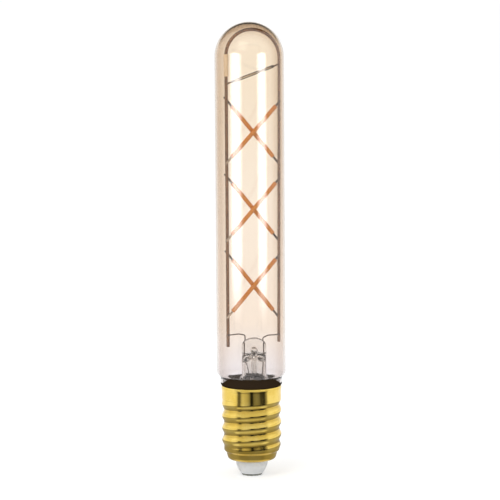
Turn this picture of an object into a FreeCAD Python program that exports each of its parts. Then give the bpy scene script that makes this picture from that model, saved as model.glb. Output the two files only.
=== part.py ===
import FreeCAD, Part
import math
import os
import re

import Sketcher
from FreeCAD import Matrix, Placement, Rotation, Vector

# Tubular filament lamp: a glass tube with a domed end, its filament mount and its screw cap.
# The lamp stands on its cap. The origin is the middle of the contact's lower face, +Z is the
# lamp's axis, +X is to the right seen from the front and the front is at -Y.

doc = FreeCAD.newDocument("TubularLamp")

# Driving dimensions, in millimetres and degrees. A rise or a drop is measured from the place
# that the list of places below gives it.

GLASS = {
    "glass_diameter": 30.0,
    "glass_wall": 0.8,
    "tube_length": 137.7,
    "shoulder_slope": 2.375,
    "waist_slope": 1.0,
    "waist_length": 1.7,
    "waist_share": 0.556,
    "neck_above_lip": 1.0,
    "neck_length": 9.4,
    "neck_cap_gap": 0.4,
}
STEM = {
    "stem_shift": 1.25,
    "flare_tube_radius": 5.3,
    "flare_wall": 0.9,
    "flare_bend": 2.5,
    "press_rise": 7.3,
    "press_length": 8.3,
    "press_depth": 4.8,
    "press_shoulder": 3.0,
    "press_dome": 2.4,
    "press_crown": 2.0,
    "stem_seal_gap": 0.05,
    "exhaust_radius": 1.2,
    "exhaust_bore": 0.7,
    "exhaust_drop": 3.5,
    "exhaust_grip": 0.3,
    "blow_hole_radius": 1.5,
    "blow_hole_rise": 3.2,
    "blow_hole_offset": 1.6,
    "plug_depth": 5.0,
    "plug_gap": 0.1,
    "plug_top_in": 1.1,
}
MOUNT = {
    "rod_diameter": 1.4,
    "left_rod_inset": 2.2,
    "left_rod_angle": 209.0,
    "left_rod_below_lead": 5.3,
    "right_rod_inset": 0.25,
    "right_rod_angle": 8.0,
    "right_rod_below_lead": 3.3,
    "right_rod_lean": 0.95,
    "arch_dome_gap": 1.7,
    "arch_flat": 0.2,
    "arch_right_share": 0.543,
    "sleeve_diameter": 2.0,
    "sleeve_bore": 1.6,
    "sleeve_length": 9.6,
    "sleeve_over_arch": 0.8,
    "sleeve_grip": 3.0,
    "bar_diameter": 1.3,
    "bar_left_drop": 12.2,
    "bar_right_drop": 4.4,
    "bar_left_stop": 2.0,
    "bar_right_stop": 2.2,
    "bar_pin_diameter": 0.7,
    "bar_pin_grip": 1.0,
}
FILAMENTS = {
    "filament_length": 29.4,
    "filament_width": 1.75,
    "filament_depth": 1.2,
    "filament_edge": 0.45,
    "tab_width": 0.9,
    "tab_thickness": 0.25,
    "front_tab_gap": 2.85,
    "back_tab_gap": 4.1,
    "tab_over_left_rod": 1.2,
    "tab_over_right_rod": 0.4,
    "first_cross_rise": 21.3,
    "last_cross_drop": 33.3,
}
LEADS = {
    "lead_diameter": 0.5,
    "lead_spacing": 7.8,
    "lead_bend_radius": 1.0,
    "left_lead_rise": 2.3,
    "left_lead_angle": 35.0,
    "left_lead_reach": 4.9,
    "left_lead_tip": 0.9,
    "left_lead_crook": 1.2,
    "left_lead_spread": 2.1,
    "left_lead_back": 0.3,
    "right_lead_rise": 1.3,
    "right_lead_angle": 200.0,
    "right_lead_reach": 5.6,
    "right_lead_tip": 0.2,
    "right_lead_crook": 0.0,
    "right_lead_spread": 3.6,
    "right_lead_back": -0.2,
    "lead_press_exit": 1.5,
    "lead_flare_entry": 2.8,
    "lead_flare_depth": 8.7,
    "lead_flare_spread": 2.9,
    "lead_board_spacing": 9.0,
    "lead_board_run": 8.0,
}
CAP = {
    "cap_sheet": 0.3,
    "cap_hole_height": 6.35,
    "heel_rise": 0.65,
    "flank_rise": 1.8,
    "cap_waist_rise": 1.2,
    "thread_rise": 1.5,
    "thread_length": 22.7,
    "skirt_length": 3.7,
    "lip_length": 1.9,
    "skirt_radius": 13.0,
    "thread_depth": 0.9,
    "thread_pitch": 5.4,
    "thread_start_angle": 225.0,
    "thread_fade": 2.7,
    "cap_waist_in": 1.0,
    "flank_in": 2.25,
    "heel_in": 1.55,
    "heel_bow": 1.9,
    "hole_in": 2.0,
    "lip_in": 0.05,
    "lip_bow": 3.0,
    "cement_rise": 0.8,
}
BASE = {
    "insulator_gap": 0.1,
    "insulator_cap_gap": 1.05,
    "insulator_knee_height": 4.6,
    "insulator_knee_in": 0.3,
    "insulator_foot_radius": 5.0,
    "insulator_foot_bow": 18.0,
    "insulator_wall": 1.0,
    "insulator_floor": 8.6,
    "contact_radius": 4.5,
    "contact_thickness": 0.9,
    "contact_edge": 0.5,
    "contact_shank_radius": 0.75,
    "contact_shank_length": 4.1,
}
DRIVER = {
    "board_rise": 1.9,
    "board_thickness": 1.0,
    "board_ledge": 0.7,
    "board_lip": 1.1,
    "board_hole_gap": 0.05,
    "rectifier_length": 4.8,
    "rectifier_width": 3.9,
    "rectifier_height": 1.6,
    "rectifier_x": -4.4,
    "rectifier_y": -6.9,
    "chip_length": 4.9,
    "chip_width": 3.0,
    "chip_height": 1.5,
    "chip_x": -3.6,
    "chip_y": 1.4,
    "capacitor_radius": 2.5,
    "capacitor_height": 7.0,
    "capacitor_x": 4.0,
    "capacitor_y": -3.9,
    "resistor_radius": 1.15,
    "resistor_length": 6.0,
    "resistor_x": -6.4,
    "resistor_y": -1.6,
    "component_edge": 0.3,
    "side_lead_gap": 1.3,
    "side_lead_bend_start": 5.5,
    "side_lead_bend_rise": 3.5,
}
SIZES = {**GLASS, **STEM, **MOUNT, **FILAMENTS, **LEADS, **CAP, **BASE, **DRIVER}

# Places that follow from the sizes: heights from the contact's face, and radii from the axis.
PLACES = {
    "heel_height": "cap_hole_height + heel_rise",
    "flank_height": "heel_height + flank_rise",
    "cap_waist_height": "flank_height + cap_waist_rise",
    "thread_bottom": "cap_waist_height + thread_rise",
    "thread_top": "thread_bottom + thread_length",
    "lip_height": "thread_top + skirt_length",
    "rim_height": "lip_height + lip_length",
    "neck_height": "lip_height + neck_above_lip",
    "neck_foot": "neck_height - neck_length",
    "waist_height": "neck_height + (waist_radius - neck_radius) * waist_slope",
    "waist_top": "waist_height + waist_length",
    "shoulder_height": "waist_top + (glass_diameter / 2 - waist_radius) * shoulder_slope",
    "dome_centre_height": "shoulder_height + tube_length",
    "cement_bottom": "neck_foot + cement_rise",
    "flare_foot": "waist_top - flare_wall",
    "flare_tube_height": "waist_top + flare_bend",
    "plug_top": "flare_foot - stem_seal_gap",
    "press_height": "flare_tube_height + press_rise",
    "press_top": "press_height + press_length",
    "left_lead_height": "press_top + left_lead_rise",
    "right_lead_height": "press_top + right_lead_rise",
    "left_rod_bottom": "left_lead_height - left_rod_below_lead",
    "right_rod_bottom": "right_lead_height - right_rod_below_lead",
    "board_height": "insulator_floor + board_rise",
    "thread_root_radius": "skirt_radius - thread_depth",
    "cap_waist_radius": "thread_root_radius - cap_waist_in",
    "flank_radius": "skirt_radius - flank_in",
    "heel_radius": "flank_radius - heel_in",
    "cap_hole_radius": "heel_radius - hole_in",
    "neck_radius": "thread_root_radius - cap_sheet - neck_cap_gap",
    "waist_radius": "neck_radius + (glass_diameter / 2 - neck_radius) * waist_share",
    "insulator_radius": "flank_radius - cap_sheet - insulator_cap_gap",
    "board_radius": "insulator_radius - insulator_wall - insulator_gap",
}

CROSS_COUNT = 3
THREAD_STEPS = 6
# No bend takes all of a run.
RUN_LIMIT = 0.99

sheet = doc.addObject("Spreadsheet::Sheet", "Sizes")
for row, (size_name, size_value) in enumerate(SIZES.items(), start=1):
    sheet.set(f"A{row}", size_name)
    sheet.set(f"B{row}", str(size_value))
    sheet.setAlias(f"B{row}", size_name)
doc.recompute()


# Reading and binding sizes

def bound(expression):
    """The same expression with each place worked out and each size looked up in the sheet."""
    def looked_up(match):
        name = match[0]
        if name in PLACES:
            return f"({bound(PLACES[name])})"
        return f"Sizes.{name}" if name in SIZES else name

    return re.sub(r"[a-z]\w*", looked_up, expression)


def value(expression):
    """The number that an expression of sizes comes to."""
    return float(sheet.evalExpression(bound(expression)))


def bind(item, **properties):
    """Tie properties to expressions of sizes; a number worked out here is set as it is."""
    for name, expression in properties.items():
        if isinstance(expression, str):
            item.setExpression(name, bound(expression))
        else:
            setattr(item, name, expression)


# Outlines, turned pieces and pads

def s_curve(x0, y0, x1, y1, first_side):
    """Two equal arcs that leave and arrive upright, by way of the middle point."""
    rise = f"(({y1}) - ({y0}))"
    shift = f"(({x1}) - ({x0}))"
    radius = f"abs(({rise} ^ 2 + {shift} ^ 2) / (4 * {shift}))"
    middle = (f"(({x0}) + ({x1})) / 2", f"(({y0}) + ({y1})) / 2")
    return [(*middle, radius, first_side), (x1, y1, radius, -first_side)]


def arc_between(start, end, radius, side):
    """Arc from start to end whose centre is left (+1) or right (-1) of the way there."""
    chord = end - start
    half = chord.Length / 2
    sideways = Vector(-chord.y, chord.x, 0).normalize() * side
    centre = (start + end) / 2 + sideways * math.sqrt(max(radius ** 2 - half ** 2, 0))
    first, last = (start, end) if side > 0 else (end, start)
    angles = [math.atan2(point.y - centre.y, point.x - centre.x) for point in (first, last)]
    return Part.ArcOfCircle(Part.Circle(centre, Vector(0, 0, 1), radius), *angles)


def pin_corner(sketch, geometry, end, x, y):
    """Hold one end of a line or arc at its place, worked out from the sizes."""
    for kind, expression, axis in (("DistanceX", x, -2), ("DistanceY", y, -1)):
        if expression == "0":
            sketch.addConstraint(Sketcher.Constraint("PointOnObject", geometry, end, axis))
            continue
        place = Sketcher.Constraint(kind, -1, 1, geometry, end, value(expression))
        index = sketch.addConstraint(place)
        sketch.setExpression(f"Constraints[{index}]", bound(expression))


def closed_outline(body, name, plane, corners):
    """A sketch whose corners are (x, y), or (x, y, radius, side) where an arc arrives."""
    sketch = body.newObject("Sketcher::SketchObject", name)
    origin = body.Origin.OriginFeatures
    sketch.AttachmentSupport = (next(f for f in origin if f.Role == plane), [""])
    sketch.MapMode = "FlatFace"
    points = [Vector(value(corner[0]), value(corner[1]), 0) for corner in corners]
    starts = []
    for number, corner in enumerate(corners):
        start, end = points[number - 1], points[number]
        if len(corner) == 2:
            geometry = sketch.addGeometry(Part.LineSegment(start, end), False)
            starts.append((geometry, 1, 2))
            continue
        radius, side = value(corner[2]), corner[3]
        geometry = sketch.addGeometry(arc_between(start, end, radius, side), False)
        starts.append((geometry, 1, 2) if side > 0 else (geometry, 2, 1))
        index = sketch.addConstraint(Sketcher.Constraint("Radius", geometry, radius))
        sketch.setExpression(f"Constraints[{index}]", bound(corner[2]))
    for number, corner in enumerate(corners):
        geometry, _, end = starts[number]
        following, start, _ = starts[(number + 1) % len(corners)]
        sketch.addConstraint(Sketcher.Constraint("Coincident", geometry, end, following, start))
        pin_corner(sketch, geometry, end, corner[0], corner[1])
    return sketch


def rounded_section(body, name, width, depth, edge):
    """A rectangle with rounded corners, centred on the origin."""
    corners = []
    for along, aside in ((1, 1), (-1, 1), (-1, -1), (1, -1)):
        far_x, far_y = f"{along} * {width} / 2", f"{aside} * {depth} / 2"
        near_x = f"{along} * ({width} / 2 - {edge})"
        near_y = f"{aside} * ({depth} / 2 - {edge})"
        first, second = (far_x, near_y), (near_x, far_y)
        if along != aside:
            first, second = second, first
        corners += [first, (*second, edge, 1)]
    return closed_outline(body, name, "XY_Plane", corners)


def new_body(label):
    body = doc.addObject("PartDesign::Body", label)
    body.Label = label
    return body


def turned(label, corners):
    """A body turned about Z from an outline of radii and heights."""
    body = new_body(label)
    sketch = closed_outline(body, f"{label}_outline", "XZ_Plane", corners)
    turn = body.newObject("PartDesign::Revolution", f"{label}_turning")
    turn.Profile = sketch
    turn.ReferenceAxis = (sketch, ["V_Axis"])
    turn.Angle = 360
    return body


def rod(label, radius, height):
    piece = doc.addObject("Part::Cylinder", label)
    piece.Label = label
    bind(piece, Radius=radius, Height=height)
    return piece


def block(label, length, width, height):
    piece = doc.addObject("Part::Box", label)
    piece.Label = label
    bind(piece, Length=length, Width=width, Height=height)
    return piece


def shaped(label, shape):
    piece = doc.addObject("Part::Feature", label)
    piece.Label = label
    piece.Shape = shape
    return piece


def aim(piece, start, direction, facing):
    """Put a piece's origin at start, its Z along direction and its Y towards facing."""
    z_axis = Vector(direction).normalize()
    x_axis = facing.cross(z_axis).normalize()
    y_axis = z_axis.cross(x_axis)
    columns = Matrix(
        x_axis.x, y_axis.x, z_axis.x, 0,
        x_axis.y, y_axis.y, z_axis.y, 0,
        x_axis.z, y_axis.z, z_axis.z, 0,
        0, 0, 0, 1,
    )
    piece.Placement = Placement(start, Placement(columns).Rotation)


def bent_path(points, radii):
    """Straight runs joined by tangent arcs, one radius to a corner. Two bends share the run
    between them as their radii do, and a radius is eased where its run is short."""
    edges = []
    here = points[0]
    bends = [0, *radii, 0]
    for number, radius in enumerate(radii, start=1):
        before, corner, after = points[number - 1:number + 2]
        back = (before - corner).normalize()
        ahead = (after - corner).normalize()
        half_turn = (math.pi - back.getAngle(ahead)) / 2
        run_in = (before - corner).Length * radius / (radius + bends[number - 1])
        run_out = (after - corner).Length * radius / (radius + bends[number + 1])
        setback = min(radius * math.tan(half_turn), RUN_LIMIT * run_in, RUN_LIMIT * run_out)
        bend = setback / math.tan(half_turn)
        to_centre = bend / math.cos(half_turn)
        inward = (back + ahead).normalize()
        first, last = corner + back * setback, corner + ahead * setback
        middle = corner + inward * (to_centre - bend)
        edges.append(Part.LineSegment(here, first).toShape())
        edges.append(Part.Arc(first, middle, last).toShape())
        here = last
    edges.append(Part.LineSegment(here, points[-1]).toShape())
    return Part.Wire(edges)


def wire(points, radius, bends):
    """A round wire along a bent path, with one bend radius or one for each corner."""
    radii = bends if isinstance(bends, list) else [bends] * (len(points) - 2)
    path = bent_path(points, radii)
    section = Part.Circle(points[0], points[1] - points[0], radius).toShape()
    return path.makePipeShell([Part.Wire([section])], True, False)


def upright_arc(start, end, radius, side):
    """Arc in the XZ plane whose centre is left (+1) or right (-1) of the way from start."""
    chord = end - start
    sideways = Vector(-chord.z, 0, chord.x).normalize() * side
    depth = radius - math.sqrt(radius ** 2 - chord.Length ** 2 / 4)
    middle = (start + end) / 2 - sideways * depth
    return Part.Arc(start, middle, end).toShape()


def upright_s(start, end, side):
    rise, shift = end.z - start.z, end.x - start.x
    radius = abs((rise ** 2 + shift ** 2) / (4 * shift))
    middle = (start + end) / 2
    return [upright_arc(start, middle, radius, side), upright_arc(middle, end, radius, -side)]


# Places that several pieces share

glass_radius = value("glass_diameter / 2")
glass_inside = value("glass_diameter / 2 - glass_wall")
rod_radius = value("rod_diameter / 2")
lead_radius = value("lead_diameter / 2")


def on_circle(radius, angle, height):
    turn = math.radians(angle)
    return Vector(radius * math.cos(turn), radius * math.sin(turn), height)


arch_top = value("dome_centre_height - arch_dome_gap") + glass_inside - rod_radius
left_axis = on_circle(
    glass_inside - rod_radius - value("left_rod_inset"), value("left_rod_angle"), 0
)
right_top = on_circle(
    glass_inside - rod_radius - value("right_rod_inset"), value("right_rod_angle"), 0
)
rods_span = (right_top - left_axis).Length
across = (right_top - left_axis).normalize()
to_front = Vector(across.y, -across.x, 0)
arch_bends = rods_span - value("arch_flat")
right_arch_bend = arch_bends * value("arch_right_share")
left_arch_bend = arch_bends - right_arch_bend
arch_spring = arch_top - left_arch_bend


def left_rod_at(height):
    return left_axis + Vector(0, 0, height)


def right_rod_at(height):
    """The right rod leans in towards its foot."""
    share = (arch_spring - height) / (arch_spring - value("right_rod_bottom"))
    return right_top - across * (value("right_rod_lean") * share) + Vector(0, 0, height)


# Glass envelope

def build_envelope():
    outside = "glass_diameter / 2"
    apex = "dome_centre_height + glass_diameter / 2"
    thin = " - glass_wall"
    return turned("glass_envelope", [
        ("neck_radius", "neck_height"),
        *s_curve("neck_radius", "neck_height", "waist_radius", "waist_height", -1),
        ("waist_radius", "waist_top"),
        *s_curve("waist_radius", "waist_top", outside, "shoulder_height", -1),
        (outside, "dome_centre_height"),
        ("0", apex, outside, 1),
        ("0", apex + thin),
        (outside + thin, "dome_centre_height", outside + thin, -1),
        (outside + thin, "shoulder_height"),
        *s_curve(outside + thin, "shoulder_height", "waist_radius - glass_wall",
                 "waist_top", -1),
        ("waist_radius - glass_wall", "waist_height"),
        *s_curve("waist_radius - glass_wall", "waist_height", "neck_radius - glass_wall",
                 "neck_height", -1),
        ("neck_radius - glass_wall", "neck_foot"),
        ("neck_radius", "neck_foot"),
    ])


# Filament mount: rods, arch, sleeve and spacer bar

def build_left_rod():
    top = arch_spring + value("sleeve_over_arch - sleeve_length + sleeve_grip")
    piece = rod("support_rod_left", "rod_diameter / 2", top - value("left_rod_bottom"))
    aim(piece, left_rod_at(value("left_rod_bottom")), Vector(0, 0, 1), to_front)
    return piece


def build_right_rod():
    """The right rod runs on as an arch under the dome and ends in the sleeve."""
    foot = right_rod_at(value("right_rod_bottom"))
    end = left_rod_at(arch_spring + value("sleeve_over_arch - sleeve_grip"))
    corners = [foot, right_rod_at(arch_top), left_rod_at(arch_top), end]
    bends = [right_arch_bend, left_arch_bend]
    return shaped("support_rod_right", wire(corners, rod_radius, bends))


def build_sleeve():
    piece = turned("insulating_sleeve", [
        ("sleeve_bore / 2", "sleeve_length"),
        ("sleeve_bore / 2", "0"),
        ("sleeve_diameter / 2", "0"),
        ("sleeve_diameter / 2", "sleeve_length"),
    ])
    piece.Placement.Base = left_rod_at(arch_spring + value("sleeve_over_arch - sleeve_length"))
    return piece


def build_spacer():
    """A glass bar with a metal pin melted into each end, welded between the rods."""
    left = left_rod_at(arch_spring - value("bar_left_drop"))
    right = right_rod_at(arch_spring - value("bar_right_drop"))
    way = (right - left).normalize()
    level = way.dot(across)
    surface = rod_radius / level
    bar_start = left + way * (surface + value("bar_left_stop"))
    bar_end = right - way * (surface + value("bar_right_stop"))
    bar = turned("spacer_bar", [
        ("0", "bar_pin_grip"),
        ("bar_pin_diameter / 2", "bar_pin_grip"),
        ("bar_pin_diameter / 2", "0"),
        ("bar_diameter / 2", "0"),
        ("bar_diameter / 2", str((bar_end - bar_start).Length)),
        ("bar_pin_diameter / 2", str((bar_end - bar_start).Length)),
        ("bar_pin_diameter / 2", f"{(bar_end - bar_start).Length} - bar_pin_grip"),
        ("0", f"{(bar_end - bar_start).Length} - bar_pin_grip"),
    ])
    aim(bar, bar_start, way, to_front)
    pin_left = rod("spacer_pin_left", "bar_pin_diameter / 2", "bar_left_stop + bar_pin_grip")
    aim(pin_left, left + way * surface, way, to_front)
    pin_right = rod("spacer_pin_right", "bar_pin_diameter / 2", "bar_right_stop + bar_pin_grip")
    aim(pin_right, right - way * surface, way * -1, to_front)
    return [bar, pin_left, pin_right]


# Filaments: six coated strips, welded by their end tabs to the rods in three crosses

def cross_heights():
    """Middle heights of the crosses, evenly spaced between the leads and the arch."""
    first = value("left_lead_height + first_cross_rise")
    last = arch_spring - value("last_cross_drop")
    return [first + (last - first) * k / (CROSS_COUNT - 1) for k in range(CROSS_COUNT)]


def build_filament(number, middle_height, tab_gap, side):
    """side is +1 for a filament on the rods' front that rises to the right, -1 for one on
    their back that falls. Its length and its tabs' free length set how steep it lies."""
    span = (right_rod_at(middle_height) - left_rod_at(middle_height)).Length
    rise = math.sqrt(value(f"filament_length + 2 * {tab_gap}") ** 2 - span ** 2) * side
    left_height, right_height = middle_height - rise / 2, middle_height + rise / 2
    stand_off = to_front * side * value("rod_diameter / 2 + tab_thickness / 2")
    left = left_rod_at(left_height) + stand_off
    right = right_rod_at(right_height) + stand_off
    middle = (left + right) / 2
    way = (right - left).normalize()
    half_body = value("filament_length / 2")
    strip = new_body(f"led_filament_{number}")
    sketch = rounded_section(
        strip, f"filament_section_{number}", "filament_width", "filament_depth", "filament_edge"
    )
    pad = strip.newObject("PartDesign::Pad", f"filament_length_{number}")
    pad.Profile = sketch
    bind(pad, Length="filament_length")
    aim(strip, middle - way * half_body, way, to_front)
    gap = (right - left).Length / 2 - half_body
    tabs = []
    for end_name, direction in (("left", way * -1), ("right", way)):
        reach = gap + value(f"tab_over_{end_name}_rod")
        tab = block(f"filament_tab_{number}_{end_name}", "tab_width", "tab_thickness", reach)
        corner = Vector(value("-tab_width / 2"), value("-tab_thickness / 2"), 0)
        aim(tab, middle + direction * half_body, direction, to_front)
        tab.Placement.Base = tab.Placement.multVec(corner)
        tabs.append(tab)
    return [strip, *tabs]


def build_filaments():
    pieces = []
    for cross, height in enumerate(cross_heights()):
        pieces += build_filament(2 * cross + 1, height, "front_tab_gap", 1)
        pieces += build_filament(2 * cross + 2, height, "back_tab_gap", -1)
    return pieces


# Leads: welded to the rods, sealed through the press and led down to the driver board

def build_lead(end_name, side, rod_axis):
    """A level run across a rod, the way down into the press and on through the flare."""
    press_top, press_foot = value("press_top"), value("press_height")
    flare_foot, board_end = value("flare_foot"), value("board_height") - lead_radius
    height, angle, reach, tip, crook, spread, back = (
        value(f"{end_name}_lead_{name}")
        for name in ("height", "angle", "reach", "tip", "crook", "spread", "back")
    )
    way = on_circle(1, angle, 0)
    beside = Vector(-way.y, way.x, 0) * side
    weld = Vector(rod_axis.x, rod_axis.y, height) + beside * (rod_radius + lead_radius)
    centre = value("stem_shift")
    press_x = centre + side * value("lead_spacing / 2")
    flare_x = centre + side * value("lead_flare_spread")
    board_x = side * value("lead_board_spacing / 2")
    points = [
        weld - way * tip,
        weld + way * reach,
        Vector(press_x, 0, press_top + crook),
        Vector(press_x, 0, press_foot - value("lead_press_exit")),
        Vector(centre + side * spread, back, flare_foot + value("lead_flare_entry")),
        Vector(flare_x, back, flare_foot - value("lead_flare_depth")),
        Vector(board_x, 0, board_end + value("lead_board_run")),
        Vector(board_x, 0, board_end),
    ]
    return shaped(f"lead_wire_{end_name}", wire(points, lead_radius, value("lead_bend_radius")))


def build_leads():
    left = build_lead("left", -1, left_rod_at(0))
    right = build_lead("right", 1, right_rod_at(value("right_lead_height")))
    return [left, right]


# Glass stem: a flared tube pressed flat at its top round the leads

def stem_foot():
    """The stem's tube stands a little aside of the lamp's axis, on the flare."""
    return Vector(value("stem_shift"), 0, value("flare_foot"))


def revolved_solid(edges):
    """A solid turned about Z from an open outline whose two ends lie on the axis."""
    first = edges[0].Vertexes[0].Point
    last = edges[-1].Vertexes[-1].Point
    outline = Part.Wire([*edges, Part.LineSegment(last, first).toShape()])
    return Part.Face(outline).revolve(Vector(0, 0, 0), Vector(0, 0, 1), 360)


def flare(rim_radius, foot, level, tube_radius, bend, top):
    """Edges of a flare, from the axis out: a flat rim, the bend and the tube up to its top."""
    corners = [
        Vector(0, 0, foot), Vector(rim_radius, 0, foot), Vector(rim_radius, 0, level),
        Vector(tube_radius + bend, 0, level), Vector(tube_radius, 0, level + bend),
        Vector(tube_radius, 0, top),
    ]
    straight = [Part.LineSegment(*pair).toShape() for pair in zip(corners[:3], corners[1:4])]
    rise = Part.LineSegment(corners[4], corners[5]).toShape()
    return [*straight, upright_arc(corners[3], corners[4], bend, -1), rise]


def build_stem(leads):
    """A flared tube, pinched flat while soft round the leads and the exhaust tube."""
    tube, wall, bend = (value(name) for name in ("flare_tube_radius", "flare_wall", "flare_bend"))
    foot, top = (value(f"{name} - flare_foot") for name in ("press_height", "press_top"))
    rim = value("waist_radius - glass_wall - stem_seal_gap")
    axis = Vector(-value("stem_shift"), 0, 0)
    dome = value("press_dome")
    clear = 2 * rim
    outer_edges = flare(clear, 0, wall, tube, bend, top)
    outer_edges.append(Part.LineSegment(Vector(tube, 0, top), Vector(0, 0, top)).toShape())
    dome_foot, dome_bow = foot - dome, ((tube - wall) ** 2 + dome ** 2) / (2 * dome)
    cavity_edges = flare(2 * clear, -wall, 0, tube - wall, bend + wall, dome_foot)
    cavity_edges.append(
        upright_arc(Vector(tube - wall, 0, dome_foot), Vector(0, 0, foot), dome_bow, 1)
    )
    glass = revolved_solid(outer_edges).cut(revolved_solid(cavity_edges))
    beyond_rim = Part.makeCylinder(2 * clear, 3 * wall, axis - Vector(0, 0, wall))
    beyond_rim = beyond_rim.cut(Part.makeCylinder(rim, 3 * wall, axis - Vector(0, 0, wall)))
    glass = glass.cut(beyond_rim)
    half_depth, shoulder = value("press_depth / 2"), value("press_shoulder")
    pinch = Part.Wire([
        *upright_s(Vector(tube, 0, foot - shoulder / 2), Vector(half_depth, 0, foot + shoulder / 2),
                   1),
        *Part.makePolygon([
            Vector(half_depth, 0, foot + shoulder / 2), Vector(half_depth, 0, top + clear),
            Vector(clear, 0, top + clear), Vector(clear, 0, foot - shoulder / 2),
            Vector(tube, 0, foot - shoulder / 2),
        ]).Edges,
    ])
    side = Part.Face(pinch).extrude(Vector(0, 2 * clear, 0))
    side.translate(Vector(0, -clear, 0))
    for quarter_turn in (90, -90):
        cutter = side.copy()
        cutter.rotate(Vector(0, 0, 0), Vector(0, 0, 1), quarter_turn)
        glass = glass.cut(cutter)
    corner = top - value("press_crown")
    crown = Part.Wire([
        Part.Arc(Vector(-tube, 0, corner), Vector(0, 0, top), Vector(tube, 0, corner)).toShape(),
        *Part.makePolygon([
            Vector(tube, 0, corner), Vector(clear, 0, corner), Vector(clear, 0, top + clear),
            Vector(-clear, 0, top + clear), Vector(-clear, 0, corner), Vector(-tube, 0, corner),
        ]).Edges,
    ])
    over = Part.Face(crown).extrude(Vector(0, 2 * clear, 0))
    over.translate(Vector(0, -clear, 0))
    glass = glass.cut(over)
    hole_height = foot + value("blow_hole_rise")
    socket_top = foot + value("exhaust_grip")
    socket = Part.makeCylinder(value("exhaust_radius"), socket_top, Vector(0, 0, 0))
    channel = Part.makeCylinder(value("exhaust_bore"), hole_height - foot, Vector(0, 0, foot))
    bubble = Part.makeSphere(
        value("blow_hole_radius"), Vector(0, -value("blow_hole_offset"), hole_height)
    )
    glass = glass.cut(socket).cut(channel).cut(bubble)
    glass.Placement.Base = stem_foot()
    for lead in leads:
        glass = glass.cut(lead.Shape)
    return shaped("glass_stem", glass)


def build_exhaust_tube():
    """The tube that the lamp was emptied and filled through, melted shut at its lower tip."""
    length = "press_height - neck_foot + exhaust_grip + exhaust_drop"
    piece = turned("exhaust_tube", [
        ("0", "0"),
        ("exhaust_radius", "exhaust_radius", "exhaust_radius", 1),
        ("exhaust_radius", length),
        ("exhaust_bore", length),
        ("exhaust_bore", "exhaust_radius"),
        ("0", "exhaust_radius - exhaust_bore", "exhaust_bore", -1),
    ])
    piece.Placement.Base = Vector(value("stem_shift"), 0, value("neck_foot - exhaust_drop"))
    return piece


def build_neck_plug(leads):
    """The dark compound that fills the neck under the flare, round the leads and the tube."""
    low_radius = value("neck_radius - glass_wall - plug_gap")
    top_radius = value("waist_radius - glass_wall - plug_top_in")
    bottom, neck, waist, top = (
        value(name) for name in ("plug_top - plug_depth", "neck_height", "waist_height", "plug_top")
    )
    corners = [
        Vector(0, 0, bottom), Vector(low_radius, 0, bottom), Vector(low_radius, 0, neck),
        Vector(top_radius, 0, waist), Vector(top_radius, 0, top), Vector(0, 0, top),
    ]
    plug = revolved_solid([
        *Part.makePolygon(corners[:3]).Edges,
        *upright_s(corners[2], corners[3], -1),
        *Part.makePolygon(corners[3:]).Edges,
    ])
    foot = Vector(value("stem_shift"), 0, bottom)
    plug = plug.cut(Part.makeCylinder(value("exhaust_radius"), top - bottom, foot))
    for lead in leads:
        plug = plug.cut(lead.Shape)
    return shaped("neck_plug", plug)


# Screw cap

def sheet_profile(inward):
    """Corners of the cap's sheet below and above the thread, seen from one of its sides."""
    thick = value("cap_sheet") if inward else 0
    skirt = value("skirt_radius") - thick
    hole = Vector(value("cap_hole_radius"), 0, value("cap_hole_height") + thick)
    heel = Vector(value("heel_radius"), 0, value("heel_height") + thick)
    flank = Vector(value("flank_radius") - thick, 0, value("flank_height"))
    waist = Vector(value("cap_waist_radius") - thick, 0, value("cap_waist_height"))
    start = Vector(value("thread_root_radius") - thick, 0, value("thread_bottom"))
    skirt_foot = Vector(skirt, 0, value("thread_top"))
    lip = Vector(skirt, 0, value("lip_height"))
    rim = Vector(skirt - value("lip_in"), 0, value("rim_height"))
    return hole, heel, flank, waist, start, skirt_foot, lip, rim


def thread_ring(height, inward):
    """A turn of the rolled thread is a round section whose centre circles the axis.
    The ridge grows out of the root at the bottom and the groove fades into the skirt on top."""
    root, crest = value("thread_root_radius"), value("skirt_radius")
    turn = 360 * height / value("thread_pitch") + value("thread_start_angle")
    above_bottom = (height - value("thread_bottom")) / value("thread_fade")
    below_top = (value("thread_top") - height) / value("thread_fade")
    throw = (crest - root) / 2 * min(above_bottom, below_top, 1)
    radius = root + throw if above_bottom < below_top else crest - throw
    if inward:
        radius -= value("cap_sheet")
    return Part.Circle(on_circle(throw, turn, height), Vector(0, 0, 1), radius).toShape()


def skin(inward):
    """One side of the cap's sheet: bowl, rolled thread, skirt and lip."""
    hole, heel, flank, waist, start, skirt_foot, lip, rim = sheet_profile(inward)
    thick = value("cap_sheet") if inward else 0
    bowl = Part.Wire([
        Part.LineSegment(hole, heel).toShape(),
        upright_arc(heel, flank, value("heel_bow") - thick, 1),
        Part.LineSegment(flank, waist).toShape(),
        *upright_s(waist, start, -1),
    ])
    skirt = Part.Wire([
        Part.LineSegment(skirt_foot, lip).toShape(),
        upright_arc(lip, rim, value("lip_bow") - thick, 1),
    ])
    bottom, top = value("thread_bottom"), value("thread_top")
    count = round((top - bottom) / value("thread_pitch") * THREAD_STEPS)
    rings = [thread_ring(bottom + (top - bottom) * k / count, inward) for k in range(count + 1)]
    axis = (Vector(0, 0, 0), Vector(0, 0, 1), 360)
    faces = bowl.revolve(*axis).Faces + skirt.revolve(*axis).Faces
    for lower, upper in zip(rings, rings[1:]):
        faces += Part.makeRuledSurface(lower, upper).Faces
    return faces, hole, rim


def disc(radius, height):
    circle = Part.Circle(Vector(0, 0, height), Vector(0, 0, 1), radius).toShape()
    return Part.Face(Part.Wire([circle]))


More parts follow.
